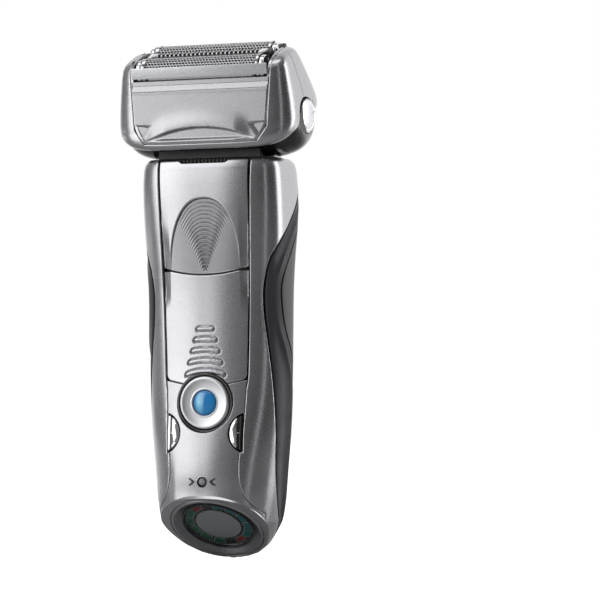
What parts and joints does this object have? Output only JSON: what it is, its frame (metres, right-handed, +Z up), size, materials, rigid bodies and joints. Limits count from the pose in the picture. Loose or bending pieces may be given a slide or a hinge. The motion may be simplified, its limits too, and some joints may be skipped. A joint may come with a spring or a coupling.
{
  "type": "electric shaver",
  "caption": "Cordless foil shaver with a swivelling head, lift-off cutting cassette, pop-out long hair trimmer, power and speed keys and a round status display.",
  "frame": {"origin": "on the ground plane under the middle of the shaver standing on its foot", "axes": "+Z up along the handle, +X to the right seen from the front, front (controls) towards -Y"},
  "size_m": [0.0622, 0.0368, 0.1627],
  "materials": {
    "silver": "satin silver paint",
    "dark_silver": "satin dark silver paint",
    "pale_silver": "satin pale silver",
    "satin_key": "satin",
    "chrome": "polished",
    "foil": "fine electroformed sheet",
    "steel": "brushed",
    "iron": "laminated",
    "copper": "enamelled winding",
    "contact_brass": "plated",
    "black_plastic": "fine grain",
    "gloss_black": "gloss",
    "grey_plastic": "printed",
    "chassis_plastic": "moulded",
    "grip_rubber": "soft-touch",
    "blue_lens": "translucent blue",
    "clear_window": "smoked clear",
    "teal_display": "display bar",
    "green_display": "display bar",
    "red_display": "display bar",
    "cell_wrap": "shrink wrap",
    "board": "solder mask"
  },
  "bodies": {
    "handle": {"front_shell": "silver", "back_shell": "black_plastic", "grip_left": "grip_rubber", "grip_right": "grip_rubber", "control_panel": "silver", "display_bezel": "dark_silver", "display_window": "clear_window", "display_panel": "gloss_black", "display_disc": "grey_plastic", "charge_segments": "teal_display", "clean_segments": "green_display", "service_segments": "red_display", "trimmer_pin": "steel", "chassis": "chassis_plastic", "battery": "cell_wrap", "circuit_board": "board", "power_socket": "black_plastic", "socket_pins": "contact_brass", "station_contacts": "contact_brass", "neck_screws": "steel", "neck": "black_plastic", "swivel_posts": "steel"},
    "head": {"swivel_pins": "steel", "head_pan": "black_plastic", "head_frame": "silver", "motor_deck": "black_plastic", "motor_core": "iron", "motor_coil": "copper"},
    "front_drive": {"front_armature": "iron"},
    "rear_drive": {"rear_armature": "iron"},
    "left_release": {"release_left": "satin_key"},
    "right_release": {"release_right": "satin_key"},
    "cassette": {"cassette_body": "dark_silver", "trim_front": "pale_silver", "trim_rear": "pale_silver"},
    "front_element": {"foil_frame_front": "chrome", "foil_front": "foil"},
    "rear_element": {"foil_frame_rear": "chrome", "foil_rear": "foil"},
    "middle_element": {"middle_guard": "foil"},
    "front_blades": {"cutter_front": "steel"},
    "rear_blades": {"cutter_rear": "steel"},
    "middle_blades": {"middle_cutter": "steel"},
    "trimmer": {"trimmer_cover": "silver", "trimmer_carrier": "black_plastic", "trimmer_comb": "steel"},
    "trimmer_blade": {"trimmer_cutter": "steel"},
    "slide": {"trimmer_slide": "silver"},
    "power_key": {"power_button": "satin_key", "power_lens": "blue_lens"},
    "minus": {"minus_key": "chrome"},
    "plus": {"plus_key": "chrome"},
    "reset": {"reset_button": "black_plastic"},
    "lock": {"head_lock": "black_plastic"}
  },
  "joints": [
    {"name": "head_swivel", "type": "hinge", "parent": "handle", "child": "head", "pos_m": [0, -0.0008, 0.14], "axis": [1, 0, 0], "range_deg": [-40, 0]},
    {"name": "front_drive_stroke", "type": "slide", "parent": "head", "child": "front_drive", "axis": [1, 0, 0], "range_m": [-0.001, 0.001]},
    {"name": "rear_drive_stroke", "type": "slide", "parent": "head", "child": "rear_drive", "axis": [1, 0, 0], "range_m": [-0.001, 0.001]},
    {"name": "left_release_press", "type": "slide", "parent": "head", "child": "left_release", "axis": [1, 0, 0], "range_m": [0, 0.0012], "stiffness_N_per_m": 400},
    {"name": "right_release_press", "type": "slide", "parent": "head", "child": "right_release", "axis": [-1, 0, 0], "range_m": [0, 0.0012], "stiffness_N_per_m": 400},
    {"name": "cassette_lift", "type": "slide", "parent": "head", "child": "cassette", "axis": [0, -0.4226, 0.9063], "range_m": [0, 0.028]},
    {"name": "front_float", "type": "slide", "parent": "cassette", "child": "front_element", "axis": [0, 0.4226, -0.9063], "range_m": [0, 0.0012], "stiffness_N_per_m": 500},
    {"name": "rear_float", "type": "slide", "parent": "cassette", "child": "rear_element", "axis": [0, 0.4226, -0.9063], "range_m": [0, 0.0012], "stiffness_N_per_m": 500},
    {"name": "middle_float", "type": "slide", "parent": "cassette", "child": "middle_element", "axis": [0, 0.4226, -0.9063], "range_m": [0, 0.0012], "stiffness_N_per_m": 500},
    {"name": "front_cut", "type": "slide", "parent": "front_element", "child": "front_blades", "axis": [1, 0, 0], "range_m": [-0.001, 0.001]},
    {"name": "rear_cut", "type": "slide", "parent": "rear_element", "child": "rear_blades", "axis": [1, 0, 0], "range_m": [-0.001, 0.001]},
    {"name": "middle_cut", "type": "slide", "parent": "middle_element", "child": "middle_blades", "axis": [1, 0, 0], "range_m": [-0.001, 0.001]},
    {"name": "trimmer_push", "type": "slide", "parent": "handle", "child": "slide", "axis": [0, 0, 1], "range_m": [0, 0.002]},
    {"name": "trimmer_hinge", "type": "hinge", "parent": "handle", "child": "trimmer", "pos_m": [0, -0.0086, 0.1], "axis": [1, 0, 0], "range_deg": [0, 20]},
    {"name": "trimmer_cut", "type": "slide", "parent": "trimmer", "child": "trimmer_blade", "axis": [1, 0, 0], "range_m": [-0.0008, 0.0008]},
    {"name": "power_press", "type": "slide", "parent": "handle", "child": "power_key", "axis": [0, 1, 0], "range_m": [0, 0.0008], "stiffness_N_per_m": 600},
    {"name": "minus_press", "type": "slide", "parent": "handle", "child": "minus", "axis": [0, 1, 0], "range_m": [0, 0.0006], "stiffness_N_per_m": 500},
    {"name": "plus_press", "type": "slide", "parent": "handle", "child": "plus", "axis": [0, 1, 0], "range_m": [0, 0.0006], "stiffness_N_per_m": 500},
    {"name": "reset_press", "type": "slide", "parent": "handle", "child": "reset", "axis": [0, 1, 0], "range_m": [0, 0.0005], "stiffness_N_per_m": 400},
    {"name": "lock_slide", "type": "slide", "parent": "handle", "child": "lock", "axis": [0, 0, 1], "range_m": [0, 0.004]}
  ],
  "couplings": [
    {"joint": "rear_drive_stroke", "follows": "front_drive_stroke", "ratio": -1},
    {"joint": "front_cut", "follows": "front_drive_stroke", "ratio": 1},
    {"joint": "rear_cut", "follows": "front_drive_stroke", "ratio": -1},
    {"joint": "middle_cut", "follows": "front_drive_stroke", "ratio": 1},
    {"joint": "trimmer_cut", "follows": "front_drive_stroke", "ratio": 0.8},
    {"joint": "trimmer_hinge", "follows": "trimmer_push", "rad_per_m": 174.53}
  ]
}
